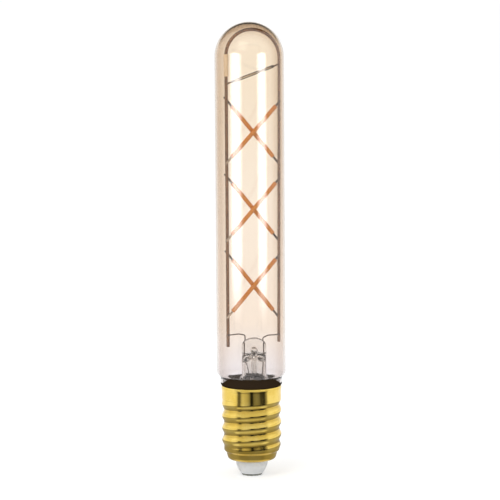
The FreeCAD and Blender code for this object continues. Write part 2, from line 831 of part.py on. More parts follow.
def build_cap_shell():
    """A drawn and rolled sheet cap, open at the rim and round the insulator."""
    outer_faces, hole, rim = skin(False)
    outer = Part.makeShell(outer_faces + [disc(hole.x, hole.z), disc(rim.x, rim.z)])
    outer = Part.makeSolid(outer)
    inner_faces, hole, rim = skin(True)
    inner = Part.makeShell(inner_faces + [disc(hole.x, hole.z), disc(rim.x, rim.z)])
    inner = Part.makeSolid(inner)
    sheet_thickness = value("cap_sheet")
    through = Part.makeCylinder(
        hole.x, 3 * sheet_thickness, Vector(0, 0, hole.z - 2 * sheet_thickness)
    )
    shell = outer.cut(inner).cut(through)
    return shaped("cap_shell", shell.Solids[0])


def build_cement():
    """The cement that holds the glass neck in the cap."""
    in_thread = "thread_root_radius - cap_sheet"
    in_skirt = "skirt_radius - cap_sheet"
    return turned("cap_cement", [
        ("neck_radius", "cement_bottom"),
        (in_thread, "cement_bottom"),
        (in_thread, "thread_top"),
        (in_skirt, "thread_top"),
        (in_skirt, "lip_height"),
        (f"{in_skirt} - lip_in", "neck_height"),
        ("neck_radius", "neck_height"),
    ])


def build_insulator():
    """One moulded piece: the cone that shows, a flange in the cap and the board's seat."""
    throat = "cap_hole_radius - insulator_gap"
    lift = "cap_sheet + insulator_gap"
    seat = "insulator_radius - insulator_wall"
    slope = "(heel_height - cap_hole_height) / (heel_radius - cap_hole_radius)"
    return turned("cap_insulator", [
        ("contact_shank_radius", "contact_thickness"),
        ("insulator_foot_radius", "contact_thickness"),
        (f"{throat} - insulator_knee_in", "insulator_knee_height", "insulator_foot_bow", 1),
        (throat, f"cap_hole_height + {lift}"),
        ("insulator_radius",
         f"cap_hole_height + {lift} + (insulator_radius - cap_hole_radius) * {slope}"),
        ("insulator_radius", "board_height + board_lip"),
        (seat, "board_height + board_lip"),
        (seat, "board_height"),
        ("board_radius - board_ledge", "board_height"),
        ("board_radius - board_ledge", "insulator_floor"),
        ("contact_shank_radius", "insulator_floor"),
    ])


def build_contact():
    """The centre contact: a flat disc with a hollow shank pressed into the insulator."""
    return turned("centre_contact", [
        ("contact_radius - contact_edge", "0"),
        ("contact_radius", "contact_edge", "contact_edge", 1),
        ("contact_radius", "contact_thickness"),
        ("contact_shank_radius", "contact_thickness"),
        ("contact_shank_radius", "contact_thickness + contact_shank_length"),
        ("lead_diameter / 2", "contact_thickness + contact_shank_length"),
        ("lead_diameter / 2", "contact_thickness"),
        ("0", "contact_thickness"),
        ("0", "0"),
    ])


# Driver in the cap

def board_hole_places():
    half = "lead_board_spacing / 2"
    return [("0", "0"), (f"-{half}", "0"), (half, "0"), ("0", "board_radius - insulator_wall")]


def build_board():
    body = new_body("driver_board")
    origin = body.Origin.OriginFeatures
    sketch = body.newObject("Sketcher::SketchObject", "board_outline")
    sketch.AttachmentSupport = (next(f for f in origin if f.Role == "XY_Plane"), [""])
    sketch.MapMode = "FlatFace"
    circle = Part.Circle(Vector(0, 0, 0), Vector(0, 0, 1), value("board_radius"))
    sketch.addGeometry(circle, False)
    sketch.addConstraint(Sketcher.Constraint("Coincident", 0, 3, -1, 1))
    index = sketch.addConstraint(Sketcher.Constraint("Radius", 0, value("board_radius")))
    sketch.setExpression(f"Constraints[{index}]", bound("board_radius"))
    for x, y in board_hole_places():
        radius = "lead_diameter / 2 + board_hole_gap"
        centre = Vector(value(x), value(y), 0)
        hole = sketch.addGeometry(Part.Circle(centre, Vector(0, 0, 1), value(radius)), False)
        index = sketch.addConstraint(Sketcher.Constraint("Radius", hole, value(radius)))
        sketch.setExpression(f"Constraints[{index}]", bound(radius))
        pin_corner(sketch, hole, 3, x, y)
    pad = body.newObject("PartDesign::Pad", "board_thickness")
    pad.Profile = sketch
    bind(pad, Length="board_thickness")
    body.Placement.Base = Vector(0, 0, value("board_height"))
    return body


def build_driver():
    top = value("board_height + board_thickness")
    board = build_board()
    rectifier = block("bridge_rectifier", "rectifier_length", "rectifier_width",
                      "rectifier_height")
    rectifier.Placement.Base = Vector(value("rectifier_x"), value("rectifier_y"), top)
    chip = block("driver_chip", "chip_length", "chip_width", "chip_height")
    chip.Placement.Base = Vector(value("chip_x"), value("chip_y"), top)
    capacitor = turned("smoothing_capacitor", [
        ("0", "capacitor_height"),
        ("0", "0"),
        ("capacitor_radius", "0"),
        ("capacitor_radius", "capacitor_height - component_edge"),
        ("capacitor_radius - component_edge", "capacitor_height", "component_edge", 1),
    ])
    capacitor.Placement.Base = Vector(value("capacitor_x"), value("capacitor_y"), top)
    resistor = turned("fusible_resistor", [
        ("0", "resistor_length"),
        ("0", "0"),
        ("resistor_radius - component_edge", "0"),
        ("resistor_radius", "component_edge", "component_edge", 1),
        ("resistor_radius", "resistor_length - component_edge"),
        ("resistor_radius - component_edge", "resistor_length", "component_edge", 1),
    ])
    lying_at = Vector(value("resistor_x"), value("resistor_y"), top + value("resistor_radius"))
    aim(resistor, lying_at, Vector(1, 0, 0), Vector(0, 1, 0))
    return [board, rectifier, chip, capacitor, resistor]


def build_driver_leads():
    """One lead runs down into the contact's shank, the other springs against the cap."""
    foot = value("contact_thickness")
    centre = rod("centre_lead", "lead_diameter / 2",
                 "board_height + board_thickness + lead_diameter - contact_thickness")
    centre.Placement.Base = Vector(0, 0, foot)
    board_y = value("board_radius - insulator_wall")
    wall_y = value("thread_root_radius - cap_sheet") - lead_radius
    bend_height = value("board_height + side_lead_bend_start")
    points = [
        Vector(0, board_y, value("board_height") - lead_radius),
        Vector(0, board_y, bend_height),
        Vector(0, wall_y, bend_height + value("side_lead_bend_rise")),
        Vector(0, wall_y, value("cement_bottom - side_lead_gap")),
    ]
    side = shaped("side_lead", wire(points, lead_radius, value("lead_bend_radius")))
    return [centre, side]


leads = build_leads()
pieces = [
    build_envelope(),
    build_stem(leads),
    build_exhaust_tube(),
    build_neck_plug(leads),
    *leads,
    build_left_rod(),
    build_right_rod(),
    build_sleeve(),
    *build_spacer(),
    *build_filaments(),
    build_cap_shell(),
    build_cement(),
    build_insulator(),
    build_contact(),
    *build_driver(),
    *build_driver_leads(),
]
doc.recompute()

for item in doc.Objects:
    if "Invalid" in item.State or "Error" in item.State:
        raise RuntimeError(f"{item.Label} did not build: {item.State}")
for piece in pieces:
    if piece.Shape.isNull() or not piece.Shape.isValid():
        raise RuntimeError(f"{piece.Label} has no valid shape")

os.makedirs("parts", exist_ok=True)
for piece in pieces:
    piece.Shape.exportStep(f"parts/{piece.Label}.step")
print(len(pieces), "pieces written")
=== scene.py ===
import math

import bpy
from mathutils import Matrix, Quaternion, Vector, noise


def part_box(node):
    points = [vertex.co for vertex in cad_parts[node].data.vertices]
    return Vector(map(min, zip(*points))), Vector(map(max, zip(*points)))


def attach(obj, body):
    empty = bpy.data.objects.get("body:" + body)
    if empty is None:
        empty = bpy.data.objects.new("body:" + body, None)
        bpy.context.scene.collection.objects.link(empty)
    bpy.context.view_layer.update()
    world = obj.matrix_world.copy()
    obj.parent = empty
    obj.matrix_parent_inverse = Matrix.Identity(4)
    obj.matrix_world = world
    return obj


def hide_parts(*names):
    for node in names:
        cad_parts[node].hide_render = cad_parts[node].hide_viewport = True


# Looks of the tubular filament lamp, built round its solids. Metres, in the solids' frame:
# the lamp stands on its contact, +Z is its axis, and the front is at -Y.

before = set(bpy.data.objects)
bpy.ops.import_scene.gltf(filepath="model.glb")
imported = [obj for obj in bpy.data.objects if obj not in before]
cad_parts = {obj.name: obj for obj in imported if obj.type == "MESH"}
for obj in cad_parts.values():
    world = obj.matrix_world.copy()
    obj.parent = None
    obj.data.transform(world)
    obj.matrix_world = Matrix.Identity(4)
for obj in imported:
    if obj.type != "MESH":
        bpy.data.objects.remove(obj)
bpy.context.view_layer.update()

MM = 0.001
AROUND = 160
FACET_ANGLE = math.radians(35)

# Glass sizes, as the solids have them

GLASS_WALL = 0.8 * MM
NECK_RADIUS, NECK_HEIGHT = 11.4 * MM, 38.9 * MM
WAIST_HEIGHT, WAIST_TOP, SHOULDER_HEIGHT = 40.9 * MM, 42.6 * MM, 46.4 * MM
WAIST_SHARE = 0.556
SHOULDER_STEPS, DOME_STEPS = 10, 48

# Stem sizes: the flare, the tube and the press, and the bubble that was blown inside it

STEM_AROUND = 96
STEM_ASIDE = 1.25 * MM
FLANGE_RADIUS = 12.55 * MM
FLARE_FOOT = 41.7 * MM
STEM_RADIUS, STEM_WALL, STEM_BEND = 5.3 * MM, 0.9 * MM, 2.5 * MM
FLARE_CENTRE = (STEM_RADIUS + STEM_BEND, FLARE_FOOT + STEM_WALL + STEM_BEND)
HOLLOW_DOME, PRESS_FOOT = 50.0 * MM, 52.4 * MM
HOLLOW_TURN = 75
PINCH_FOOT, PINCH_TOP, PRESS_TOP = 50.4 * MM, 54.4 * MM, 60.7 * MM
ROUND_POWER, PRESS_POWER = 2, 2.8
PRESS_HALF_DEPTH = 2.4 * MM
CROWN_ROUND, CROWN_DROP = 1.3 * MM, 2.0 * MM
CROWN_SHARES = (0.8, 0.6, 0.4, 0.2)
DIMPLE_HEIGHT, DIMPLE_WIDTH, DIMPLE_DEPTH = 55.6 * MM, 1.6 * MM, 0.9 * MM
BUBBLE = (
    (0.3, 57.15), (0.8, 57.0), (1.35, 56.7), (1.75, 56.2), (2.0, 55.5), (2.0, 54.8), (1.8, 54.1),
    (1.5, 53.5), (1.2, 53.0), (1.05, 52.6), (1.1, 52.35),
)
WORKED_GRAIN, WORKED_SEED = 620, 5
# Where hot working moved the glass: from and to which height, and by how much
BUBBLE_WORKED = (49.5 * MM, 57.4 * MM, 0.55 * MM)
PINCH_WORKED = (49.0 * MM, 56.0 * MM, 0.25 * MM)
FLARE_STEPS, HOLLOW_STEPS, PINCH_STEPS, PRESS_STEPS, CROWN_STEPS = 12, 12, 24, 16, 8

# Cap sizes, as the solids have them; a pair is a radius and a height

CAP_RADIUS = 13.0 * MM
THREAD_DEPTH = 0.9 * MM
THREAD_PITCH = 5.4 * MM
THREAD_START = math.radians(225)
THREAD_BOTTOM, THREAD_TOP = 11.5 * MM, 34.2 * MM
THREAD_FADE = 2.7 * MM
SHEET = 0.3 * MM
LIP_HEIGHT, RIM_HEIGHT = 37.9 * MM, 39.8 * MM
LIP_IN, LIP_BOW = 0.05 * MM, 3.0 * MM
CAP_WAIST = (11.1 * MM, 10.0 * MM)
CAP_FLANK = (10.75 * MM, 8.8 * MM)
CAP_HEEL = (9.2 * MM, 7.0 * MM)
CAP_HOLE = (7.2 * MM, 6.35 * MM)
HEEL_BOW = 1.9 * MM
THREAD_ROWS, HEEL_STEPS, WAIST_STEPS, LIP_STEPS = 100, 8, 6, 6

# The dark matt coat at the neck, and how far it reaches. On the tube's glass it is partly the
# cement's own dark colour and partly painted shade of the cap's dark inside, and it climbs higher at
# the front as painted shade; on the stem's flare the coat is painted shade only.

CEMENT_AND_SHADE_DARK = (0.036, 0.023, 0.013)
CEMENT_AND_SHADE_LINE, FRONT_SHADE_CLIMB = 41.2 * MM, 2.9 * MM
SHADE_CLIMB_FRONT, SHADE_CLIMB_BACK = -11 * MM, -3 * MM
STEM_SHADE_TOP, STEM_SHADE_RADIUS = 42.9 * MM, 11.7 * MM
NECK_DARK_RAGGED, NECK_DARK_SOFT = 0.3 * MM, 0.1 * MM
NECK_DARK_RIM = (0.5 * MM, 0.4 * MM)
WHOLE_REACH = 20 * MM

WHITE = (1, 1, 1, 1)
# A Mix node's inputs for numbers and vectors, which come before its colours
UNUSED_MIXES = (None,) * 5


# Shader maths

class Term:
    """A socket in an expression: sums, products and powers on it add Math nodes."""

    def __init__(self, finish, socket):
        self.finish, self.socket = finish, socket

    def __add__(self, other):
        return self.finish.maths("ADD", self, other)

    def __sub__(self, other):
        return self.finish.maths("SUBTRACT", self, other)

    def __rsub__(self, other):
        return self.finish.maths("SUBTRACT", other, self)

    def __mul__(self, other):
        return self.finish.maths("MULTIPLY", self, other)

    def __pow__(self, other):
        return self.finish.maths("POWER", self, other)

    __radd__, __rmul__ = __add__, __mul__


class Finish:
    """One material, or the world: its nodes are added by a single method, its output at the end."""

    def __init__(self, name, blocks=bpy.data.materials):
        self.block = blocks.new(name)
        self.block.use_nodes = True
        self.tree = self.block.node_tree
        self.tree.nodes.clear()

    def add(self, kind, settings, *terms, **named):
        """A node: its settings first, then its inputs by place or by name. None leaves one out."""
        node = self.tree.nodes.new(kind)
        for name, setting in settings.items():
            if name == "stops":
                self.set_stops(node.color_ramp, setting)
            else:
                setattr(node, name, setting)
        inputs = [*enumerate(terms), *((name.replace("_", " "), v) for name, v in named.items())]
        for place, term in inputs:
            if isinstance(term, Term):
                self.tree.links.new(term.socket, node.inputs[place])
            elif term is not None:
                node.inputs[place].default_value = term
        return node

    def set_stops(self, ramp, stops):
        for element, (place, colour) in zip(ramp.elements, stops):
            element.position, element.color = place, (*colour, 1)
        for place, colour in stops[2:]:
            ramp.elements.new(place).color = (*colour, 1)

    def node(self, kind, settings, *terms, output=0, **named):
        return Term(self, self.add(kind, settings, *terms, **named).outputs[output])

    def maths(self, operation, *terms):
        return self.node("ShaderNodeMath", {"operation": operation}, *terms)

    def place(self):
        """Coordinates in the lamp's frame, the same for every piece."""
        return self.node("ShaderNodeTexCoord", {}, output="Object")

    def axis_value(self, axis):
        return self.node("ShaderNodeSeparateXYZ", {}, self.place(), output=axis)

    def radius(self):
        """How far a point is from the lamp's axis."""
        return (self.axis_value("X") ** 2 + self.axis_value("Y") ** 2) ** 0.5

    def edge_distance(self, axis, size):
        """How far a card's point is from its edge along one axis."""
        return size / 2 - self.maths("ABSOLUTE", self.axis_value(axis))

    def facing(self):
        """0 where the surface is seen square on, 1 where it is seen along."""
        return self.node("ShaderNodeLayerWeight", {}, 0.5, output="Facing")

    def noise(self, scale, detail=3.0, roughness=0.5, stretch=(1, 1, 1)):
        vector = self.node("ShaderNodeMapping", {}, self.place(), Scale=stretch)
        return self.node("ShaderNodeTexNoise", {}, Vector=vector, Scale=scale, Detail=detail,
                         Roughness=roughness)

    def ease(self, value, low, high, start=0.0, end=1.0):
        """A smooth step from start at low to end at high."""
        return self.node("ShaderNodeMapRange", {"interpolation_type": "SMOOTHSTEP"}, value, low,
                         high, start, end)

    def blend(self, factor, first, second, mode="MIX"):
        """A mix of two colours, each a link or plain numbers."""
        first, second = (
            colour if isinstance(colour, Term) else (*colour, 1) for colour in (first, second)
        )
        settings = {"data_type": "RGBA", "blend_type": mode}
        return self.node("ShaderNodeMix", settings, factor, *UNUSED_MIXES, first, second, output=2)

    def ramp(self, value, stops):
        """The colours between stops, each a place in the value's own unit and a colour."""
        low, high = stops[0][0], stops[-1][0]
        share = self.node("ShaderNodeMapRange", {}, value, low, high, 0.0, 1.0)
        shares = [((place - low) / (high - low), colour) for place, colour in stops]
        return self.node("ShaderNodeValToRGB", {"stops": shares}, share)

    def bump(self, height, strength, distance):
        return self.node("ShaderNodeBump", {}, Height=height, Strength=strength,
                         Distance=distance)

    def seen_rays(self):
        """1 for the rays that see a thing straight, in a mirror or through glass."""
        path = self.add("ShaderNodeLightPath", {})
        straight, mirrored, passing = (
            Term(self, path.outputs[name])
            for name in ("Is Camera Ray", "Is Glossy Ray", "Is Transmission Ray")
        )
        return self.maths("MAXIMUM", straight, self.maths("MAXIMUM", mirrored, passing))

    def finish(self, shader, output="ShaderNodeOutputMaterial"):
        self.tree.links.new(shader.socket, self.add(output, {}).inputs[0])
        return self.block

    def principled(self, colour, **values):
        if not isinstance(colour, Term):
            colour = (*colour, 1)
        return self.node("ShaderNodeBsdfPrincipled", {}, Base_Color=colour, **values)

    def surface(self, colour, **values):
        """The Principled surface that ends the material."""
        return self.finish(self.principled(colour, **values))

    def light(self, strength):
        """A plain white glow that ends a card's material."""
        return self.finish(self.node("ShaderNodeEmission", {}, Color=WHITE, Strength=strength))

    def dark_below(self, shader, height, reach=WHOLE_REACH, shade_climb=0.0):
        """The shader, but matt and dark up to a height, and as far out as the reach on top. On the
        tube that dark is partly the cement's own colour and partly painted shade of the cap's dark
        inside; on the stem it is painted shade. It climbs a little more at the front, which is
        painted shade."""
        ragged = (self.noise(700) - 0.5) * NECK_DARK_RAGGED
        # Painted shade: the dark line is raised towards the front.
        ragged = ragged - self.ease(self.axis_value("Y"), SHADE_CLIMB_FRONT, SHADE_CLIMB_BACK, shade_climb, 0.0)
        rise = self.axis_value("Z") + ragged
        below = self.ease(rise, height - NECK_DARK_SOFT, height + NECK_DARK_SOFT, 1.0, 0.0)
        inside = self.ease(self.radius() + ragged, reach - NECK_DARK_SOFT, reach + NECK_DARK_SOFT,
                           1.0, 0.0)
        side = self.ease(rise, *(height - drop for drop in NECK_DARK_RIM), 1.0, 0.0)
        cover = below * self.maths("MAXIMUM", inside, side)
        # Dark matt: the cement's own colour, and painted shade of the cap's dark inside.
        matt = self.node("ShaderNodeBsdfDiffuse", {}, Color=(*CEMENT_AND_SHADE_DARK, 1))
        return self.finish(self.node("ShaderNodeMixShader", {}, cover, shader, matt))


# Outline and mesh helpers; an outline's point is a radius and a height

def arc(centre, radius, start, end, steps):
    """Points of an arc in an outline; the angles are degrees from the radius's direction."""
    angles = [math.radians(start + (end - start) * k / steps) for k in range(steps + 1)]
    return [(centre[0] + radius * math.cos(a), centre[1] + radius * math.sin(a)) for a in angles]


def s_bend(start, end, steps):
    """Two equal arcs that leave and arrive upright."""
    shift, rise = end[0] - start[0], end[1] - start[1]
    bow = (rise ** 2 + shift ** 2) / (4 * shift)
    sweep = math.asin(rise / 2 / abs(bow))
    points = []
    for k in range(steps + 1):
        angle = sweep * k / steps
        points.append((start[0] + bow * (1 - math.cos(angle)), start[1] + abs(bow) * math.sin(angle)))
    for k in range(1, steps + 1):
        angle = sweep * (1 - k / steps)
        points.append((end[0] - bow * (1 - math.cos(angle)), end[1] - abs(bow) * math.sin(angle)))
    return points


def bowed(start, end, bow, steps):
    """An arc from start to end that turns left on its way."""
    start, end = Vector(start), Vector(end)
    chord = end - start
    sideways = Vector((-chord.y, chord.x)).normalized()
    centre = (start + end) / 2 + sideways * math.sqrt(bow ** 2 - (chord.length / 2) ** 2)
    first, last = (
        math.degrees(math.atan2(point.y - centre.y, point.x - centre.x)) for point in (start, end)
    )
    return arc(centre, bow, first, first + (last - first) % 360, steps)


def ring_faces(rings, around, closed, first=0):
    """Quads between rings of equal count, each ring's vertices in a row from the first."""
    faces = []
    for ring in range(rings if closed else rings - 1):
        low, high = first + ring * around, first + (ring + 1) % rings * around
        for k in range(around):
            following = (k + 1) % around
            faces.append((low + k, low + following, high + following, high + k))
    return faces


def turned_points(radius, height):
    turns = [2 * math.pi * k / AROUND for k in range(AROUND)]
    return [(radius * math.cos(turn), radius * math.sin(turn), height) for turn in turns]


def smooth(piece):
    piece.data.polygons.foreach_set("use_smooth", [True] * len(piece.data.polygons))
    piece.data.set_sharp_from_angle(angle=FACET_ANGLE)


def mesh_piece(name, vertices, faces, material):
    mesh = bpy.data.meshes.new(name)
    mesh.from_pydata(vertices, [], faces)
    mesh.validate()
    piece = bpy.data.objects.new(name, mesh)
    bpy.context.collection.objects.link(piece)
    smooth(piece)
    piece.data.materials.append(material)
    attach(piece, "root")
    return piece


# Finishes

GLASS_INDEX, STEM_INDEX = 1.47, 1.5
GLASS_TINTS = (
    (45 * MM, (0.89, 0.862, 0.872)), (68 * MM, (0.955, 0.877, 0.80)),
    (120 * MM, (0.975, 0.905, 0.82)), (172 * MM, (0.965, 0.883, 0.77)),
)
COATING_WAVER = 8 * MM
EDGE_TINT = (0.71, 0.615, 0.535)
EDGE_FACING = (0.08, 0.55)
EDGE_HEIGHTS, EDGE_SHARES = (40 * MM, 150 * MM), (0.55, 1.0)
# The rim colours are painted shade: the dark edges that refraction draws on the stem, the tube end
# and the bar where they are seen along.
STEM_DARK, STEM_LIGHT, STEM_RIM_SHADE = (0.86, 0.84, 0.81), (0.95, 0.94, 0.92), (0.42, 0.34, 0.27)
STEM_FACING = (0.3, 0.8)
BAR_DARK, BAR_LIGHT, BAR_RIM_SHADE = (0.50, 0.40, 0.31), (0.78, 0.70, 0.60), (0.03, 0.015, 0.008)
BAR_FACING = (0.0, 0.14)
FILAMENT_DARK = (0.54, 0.16, 0.008)
FILAMENT_LIGHT = (0.68, 0.23, 0.015)
FILAMENT_PALE = (0.74, 0.32, 0.05)
WEAVE_DARK, WEAVE_LIGHT, WEAVE_STAIN = (0.64, 0.44, 0.25), (0.86, 0.64, 0.40), (0.56, 0.38, 0.21)
BRASS_BRIGHT = (0.86, 0.64, 0.17)
BRASS_DEEP = (0.78, 0.55, 0.11)
BRASS_GROOVE_SHADE = (0.42, 0.25, 0.03)
GROOVE_FROM = 0.3
CEMENT_DEEP, CEMENT_PALE = (0.016, 0.011, 0.008), (0.032, 0.024, 0.018)
CONTACT_DARK, CONTACT_LIGHT = (0.20, 0.21, 0.17), (0.36, 0.36, 0.31)


def amber_glass():
    """Clear glass whose amber coating fades downwards and ends in a faint grey at the neck."""
    look = Finish("amber_glass")
    waver = (look.noise(60, detail=2, stretch=(1, 1, 0.15)) - 0.5) * COATING_WAVER
    colour = look.ramp(look.axis_value("Z") + waver, GLASS_TINTS)
    edge = look.ease(look.facing(), *EDGE_FACING)
    edge = edge * look.ease(look.axis_value("Z"), *EDGE_HEIGHTS, *EDGE_SHARES)
    colour = look.blend(edge, colour, EDGE_TINT, "MULTIPLY")
    glass = look.principled(colour, Roughness=0.0, IOR=GLASS_INDEX, Transmission_Weight=1.0)
    # Below the line the glass is matt and dark: cement colour and painted shade; the higher front
    # rise is painted shade.
    return look.dark_below(glass, CEMENT_AND_SHADE_LINE, shade_climb=FRONT_SHADE_CLIMB)


def clear_glass(name, dark, light, rim, rim_facing, shade_top=None):
    """Clear glass with painted shade on its rim, where it is seen along; when a top height is given,
    it is matt and dark up to it, painted shade of the cap's dark inside seen through the flare.
    """
    look = Finish(name)
    ripple = look.bump(look.noise(500, detail=2), 0.15, 0.3 * MM)
    tint = look.blend(look.ease(look.noise(90), 0.3, 0.7), dark, light)
    # Painted shade: the rim colour darkens the glass where it is seen along.
    tint = look.blend(look.ease(look.facing(), *rim_facing), tint, rim)
    glass = look.principled(tint, Roughness=0.0, IOR=STEM_INDEX, Transmission_Weight=1.0,
                            Normal=ripple)
    if shade_top is None:
        return look.finish(glass)
    return look.dark_below(glass, shade_top, STEM_SHADE_RADIUS)


def wire_metal(name, dark, light, roughness, grain):
    """Drawn wire: fine lengthwise streaks and a patchy oxide, smoother where it is light."""
    look = Finish(name)
    patches = look.noise(260, detail=4, roughness=0.6)
    streaks = look.noise(grain, stretch=(1, 1, 0.08))
    bare = look.ease(patches * 0.6 + streaks * 0.4, 0.35, 0.65)
    return look.surface(look.blend(bare, dark, light), Metallic=0.85,
                        Roughness=roughness + 0.06 - bare * 0.12,
                        Normal=look.bump(streaks, 0.25, 0.05 * MM))


def filament_coating():
    """Silicone filled with yellow-orange powder over a row of chips."""
    look = Finish("filament_coating")
    grains = look.noise(3200, detail=4, roughness=0.7)
    patches = look.noise(420)
    colour = look.blend(look.ease(grains, 0.3, 0.7), FILAMENT_DARK, FILAMENT_LIGHT)
    colour = look.blend(look.ease(patches, 0.35, 0.7) * 0.35, colour, FILAMENT_PALE)
    lumps = look.bump(grains * 0.4 + patches * 0.6, 0.5, 0.1 * MM)
    return look.surface(colour, Roughness=0.55, Specular_IOR_Level=0.15, Normal=lumps)


def sleeve_weave():
    """Woven glass yarn, stained in patches by its binder."""
    look = Finish("sleeve")
    weave = look.noise(2600, roughness=0.6, stretch=(1, 1, 0.4))
    stain = look.noise(300, detail=2)
    colour = look.blend(look.ease(weave, 0.3, 0.7), WEAVE_DARK, WEAVE_LIGHT)
    colour = look.blend(look.ease(stain, 0.5, 0.8) * 0.4, colour, WEAVE_STAIN)
    return look.surface(colour, Roughness=0.7, Normal=look.bump(weave, 0.4, 0.1 * MM))


def brass_sheet():
    """Bright rolled brass: faint drawing lines round it; in the grooves a painted shade darkens it,
    and it is a little rougher there.
    """
    look = Finish("brass_cap")
    groove = look.ease(look.radius(), CAP_RADIUS - THREAD_DEPTH,
                       CAP_RADIUS - GROOVE_FROM * THREAD_DEPTH, 1.0, 0.0)
    cloud = look.noise(180, detail=4, roughness=0.6)
    lines = look.noise(900, roughness=0.6, stretch=(0.05, 0.05, 1))
    colour = look.blend(look.ease(cloud, 0.35, 0.7), BRASS_DEEP, BRASS_BRIGHT)
    # Painted shade in the thread's grooves.
    colour = look.blend(groove * 0.45, colour, BRASS_GROOVE_SHADE)
    return look.surface(colour, Metallic=1.0,
                        Roughness=cloud * 0.06 + lines * 0.05 + groove * 0.05 + 0.03,
                        Normal=look.bump(lines * 0.5 + cloud * 0.5, 0.06, 0.2 * MM))


def cement_finish():
    look = Finish("cement")
    lumps = look.noise(900, detail=5, roughness=0.65)
    colour = look.blend(look.ease(lumps, 0.3, 0.7), CEMENT_DEEP, CEMENT_PALE)
    return look.surface(colour, Roughness=0.85, Normal=look.bump(lumps, 0.6, 0.4 * MM))


def moulded(name, colour, shade, roughness):
    """Moulded plastic or glazed ceramic: a little mottled, with a very fine skin."""
    look = Finish(name)
    mottle = look.noise(700, detail=4, roughness=0.6)
    return look.surface(look.blend(look.ease(mottle, 0.3, 0.75), shade, colour),
                        Roughness=mottle * 0.12 + (roughness - 0.06),
                        Normal=look.bump(mottle, 0.15, 0.08 * MM))


def contact_metal():
    look = Finish("contact_metal")
    scuffs = look.noise(1500, detail=4, roughness=0.6, stretch=(1, 0.2, 1))
    colour = look.blend(look.ease(scuffs, 0.35, 0.7), CONTACT_DARK, CONTACT_LIGHT)
    return look.surface(colour, Metallic=1.0, Roughness=scuffs * 0.2 + 0.22,
                        Normal=look.bump(scuffs, 0.2, 0.05 * MM))


def let_light_through(piece):
    """Glass is seen and mirrored, but lets light and shadow pass straight on."""
    piece.visible_shadow = False
    piece.visible_diffuse = False


# The blown tube

def glass_outline(inset):
    """From the neck's foot to the top of the dome."""
    low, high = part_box("glass_envelope")
    neck, outside = NECK_RADIUS - inset, high.x - inset
    waist = neck + (high.x - NECK_RADIUS) * WAIST_SHARE
    points = [(neck, low.z)]
    points += s_bend((neck, NECK_HEIGHT), (waist, WAIST_HEIGHT), SHOULDER_STEPS)
    points += s_bend((waist, WAIST_TOP), (outside, SHOULDER_HEIGHT), SHOULDER_STEPS)
    points += arc((0, high.z - high.x), outside, 0, 90, DOME_STEPS)
    return points


def turned_skin(outline, first):
    """Vertices and outward faces of a turned skin that its outline's last point closes."""
    vertices = [corner for point in outline[:-1] for corner in turned_points(*point)]
    top = first + len(vertices)
    vertices.append((0, 0, outline[-1][1]))
    faces = ring_faces(len(outline) - 1, AROUND, False, first)
    last = top - AROUND
    faces += [(last + k, last + (k + 1) % AROUND, top) for k in range(AROUND)]
    return vertices, faces


def make_envelope():
    """Two smooth skins joined at the neck's foot."""
    vertices, faces = turned_skin(glass_outline(0), 0)
    inner_first = len(vertices)
    inner_vertices, inner_faces = turned_skin(glass_outline(GLASS_WALL), inner_first)
    vertices += inner_vertices
    faces += [face[::-1] for face in inner_faces]
    for k in range(AROUND):
        following = (k + 1) % AROUND
        faces.append((following, k, inner_first + k, inner_first + following))
    piece = mesh_piece("tube_glass", vertices, faces, amber_glass())
    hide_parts("glass_envelope")
    let_light_through(piece)


# The stem's pressed glass, built round its own axis and then moved aside

def stem_section(half_width, half_depth, power):
    """A ring's outline, from a circle (power 2) to a rounded oblong."""
    section = []
    for k in range(STEM_AROUND):
        turn = 2 * math.pi * k / STEM_AROUND
        across, deep = math.cos(turn), math.sin(turn)
        section.append((
            math.copysign(abs(across) ** (2 / power), across) * half_width,
            math.copysign(abs(deep) ** (2 / power), deep) * half_depth,
        ))
    return section


def round_ring(radius, height):
    return [(x, y, height) for x, y in stem_section(radius, radius, ROUND_POWER)]


def worked(point, low, high, throw):
    """Moves a point of hot-worked glass a little, most of it halfway between two heights."""
    share = (point.z - low) / (high - low)
    if not 0 < share < 1:
        return point
    return point + noise.noise_vector(point * WORKED_GRAIN) * throw * math.sin(math.pi * share)


def stem_cavity():
    """Rings of the hollow, from the closed bubble down to the flange's underside."""
    rings = [round_ring(radius * MM, height * MM) for radius, height in BUBBLE]
    inside = STEM_RADIUS - STEM_WALL
    for k in range(1, HOLLOW_STEPS + 1):
        turn = math.radians(HOLLOW_TURN * (1 - k / HOLLOW_STEPS))
        height = HOLLOW_DOME + (PRESS_FOOT - HOLLOW_DOME) * math.sin(turn)
        rings.append(round_ring(inside * math.cos(turn), height))
    rings = [[worked(Vector(point), *BUBBLE_WORKED) for point in ring] for ring in rings]
    bend = arc(FLARE_CENTRE, STEM_BEND + STEM_WALL, 180, 270, FLARE_STEPS)
    return rings + [round_ring(radius, height) for radius, height in bend]


def crown(x):
    """The press's height, which falls towards its sides."""
    return PRESS_TOP - CROWN_DROP * (x / STEM_RADIUS) ** 2


def dimpled(point):
    """The blow hole's hollow in the front of the press."""
    away = (point.x / DIMPLE_WIDTH) ** 2 + ((point.z - DIMPLE_HEIGHT) / DIMPLE_WIDTH) ** 2
    if point.y < 0:
        point.y += DIMPLE_DEPTH * math.exp(-away * away)
    return point


